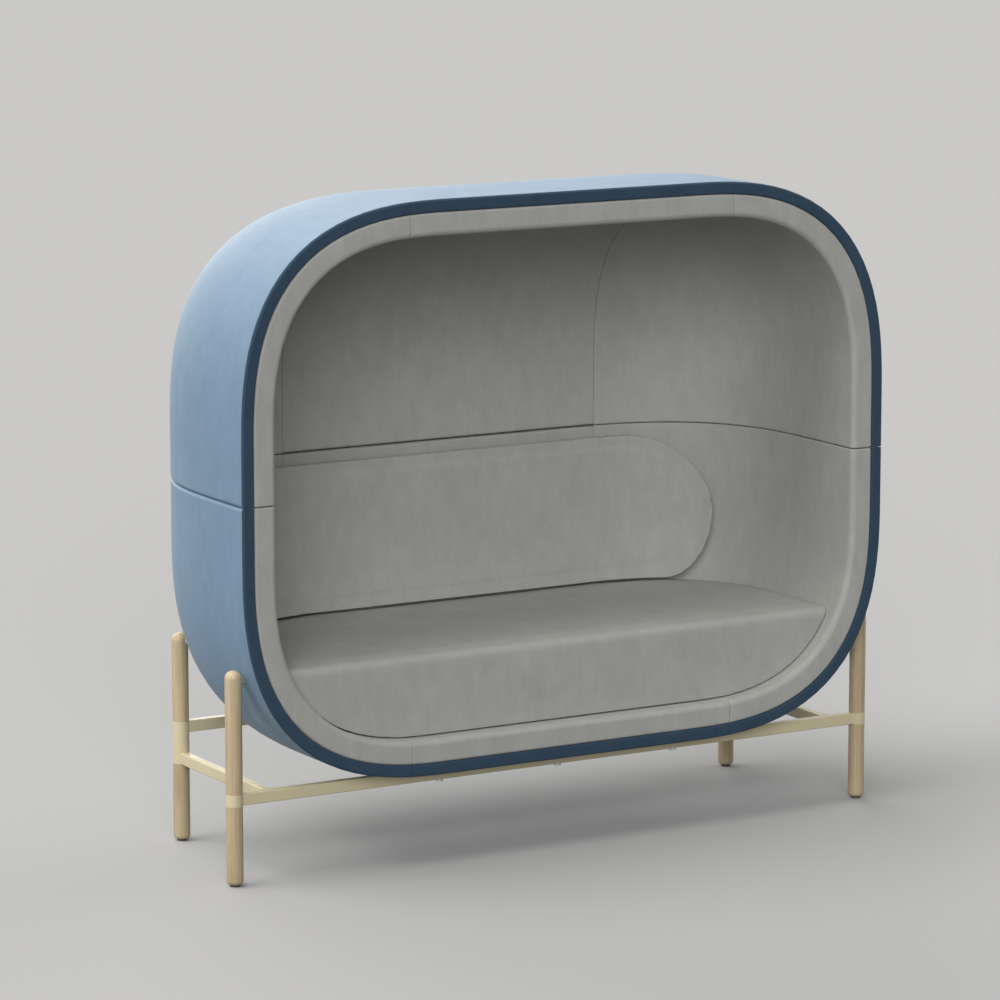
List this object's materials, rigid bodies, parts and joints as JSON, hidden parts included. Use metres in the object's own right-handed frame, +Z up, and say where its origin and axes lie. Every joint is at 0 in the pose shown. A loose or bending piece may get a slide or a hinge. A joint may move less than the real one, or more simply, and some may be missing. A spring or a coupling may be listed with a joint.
{
  "type": "high-backed sofa",
  "caption": "High-backed upholstered sofa: a rounded, open-fronted padded shell with seat and back cushion, on wooden legs tied by a steel underframe with levelling feet.",
  "frame": {"origin": "on the floor, under the middle of the sofa's width and depth", "axes": "+X to the right as seen from the front, +Y to the back, +Z up"},
  "size_m": [1.64, 0.65, 1.4525],
  "materials": {
    "cover_fabric": "woven wool, matt",
    "edge_fabric": "woven wool, matt",
    "lining_fabric": "woven wool, matt",
    "plywood": "raw",
    "ash": "clear matt oil",
    "cream_steel": "satin powder coat",
    "steel": "zinc plated",
    "glide_plastic": "matt",
    "clip_plastic": "matt",
    "rubber": "matt"
  },
  "bodies": {
    "sofa": {"back_board": "plywood", "back_cushion": "lining_fabric", "back_studs": "steel", "front_left_collar": "cream_steel", "front_left_lower_leg": "ash", "front_left_upper_leg": "ash", "front_rail": "cream_steel", "front_rail_pads": "rubber", "front_right_collar": "cream_steel", "front_right_lower_leg": "ash", "front_right_upper_leg": "ash", "glide_inserts": "steel", "hood_cover": "cover_fabric", "hood_shell": "plywood", "joining_plates": "steel", "left_cross_rail": "cream_steel", "leg_bolt_inserts": "steel", "leg_bolts": "steel", "leg_spacers": "steel", "leg_studs": "steel", "lining_clips": "clip_plastic", "lower_left_edge_band": "edge_fabric", "lower_left_lining": "lining_fabric", "lower_middle_edge_band": "edge_fabric", "lower_middle_lining": "lining_fabric", "lower_right_edge_band": "edge_fabric", "lower_right_lining": "lining_fabric", "plate_screws": "steel", "rail_bolts": "steel", "rear_left_collar": "cream_steel", "rear_left_lower_leg": "ash", "rear_left_upper_leg": "ash", "rear_rail": "cream_steel", "rear_right_collar": "cream_steel", "rear_right_lower_leg": "ash", "rear_right_upper_leg": "ash", "rear_saddles": "rubber", "right_cross_rail": "cream_steel", "seat_board": "plywood", "seat_bolts": "steel", "seat_cushion": "lining_fabric", "seat_nuts": "steel", "shell_dowels": "ash", "tub_cover": "cover_fabric", "tub_shell": "plywood", "upper_left_edge_band": "edge_fabric", "upper_left_lining": "lining_fabric", "upper_middle_edge_band": "edge_fabric", "upper_middle_lining": "lining_fabric", "upper_right_edge_band": "edge_fabric", "upper_right_lining": "lining_fabric"},
    "front_left_foot": {"front_left_glide": "glide_plastic"},
    "front_right_foot": {"front_right_glide": "glide_plastic"},
    "rear_left_foot": {"rear_left_glide": "glide_plastic"},
    "rear_right_foot": {"rear_right_glide": "glide_plastic"}
  },
  "joints": [
    {"name": "front_left_glide_screw", "type": "slide", "parent": "sofa", "child": "front_left_foot", "axis": [0, 0, -1], "range_m": [0, 0.01]},
    {"name": "front_right_glide_screw", "type": "slide", "parent": "sofa", "child": "front_right_foot", "axis": [0, 0, -1], "range_m": [0, 0.01]},
    {"name": "rear_left_glide_screw", "type": "slide", "parent": "sofa", "child": "rear_left_foot", "axis": [0, 0, -1], "range_m": [0, 0.01]},
    {"name": "rear_right_glide_screw", "type": "slide", "parent": "sofa", "child": "rear_right_foot", "axis": [0, 0, -1], "range_m": [0, 0.01]}
  ]
}
